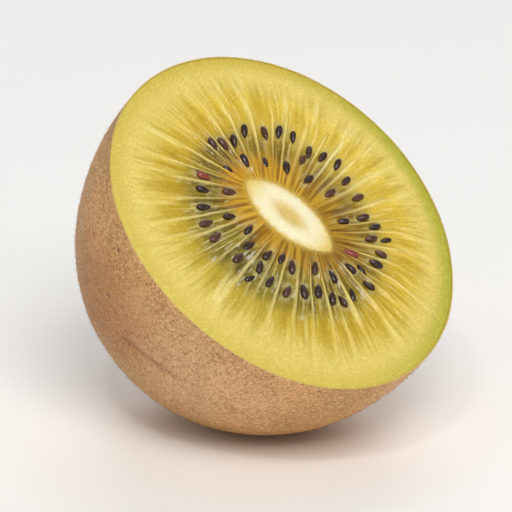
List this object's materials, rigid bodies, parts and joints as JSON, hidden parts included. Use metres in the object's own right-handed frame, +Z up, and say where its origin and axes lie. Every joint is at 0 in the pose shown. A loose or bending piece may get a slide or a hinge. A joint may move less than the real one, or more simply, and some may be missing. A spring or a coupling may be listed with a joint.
{
  "type": "halved golden kiwi fruit",
  "caption": "Half of a golden kiwi fruit, cut across, resting on its skin with the golden cut face, seeds and pale core turned up and forward.",
  "frame": {"origin": "middle of the flat spot of the skin that the half rests on", "axes": "+Z up; the cut face looks up and towards -Y, leaning 43 degrees forward from level; +X to the right of a viewer who faces the cut"},
  "size_m": [0.0491, 0.0506, 0.0496],
  "materials": {
    "skin": "thin golden-brown skin with very short pale fuzz and small dark flecks",
    "outer_flesh": "moist, fine-grained golden flesh, greener at the rim",
    "seed_flesh": "moist olive-gold flesh with pale rays and glossy dark seeds",
    "core": "soft cream-white core"
  },
  "bodies": {
    "root": {"skin": "skin", "outer_flesh": "outer_flesh", "seed_flesh": "seed_flesh", "core": "core"}
  },
  "joints": []
}
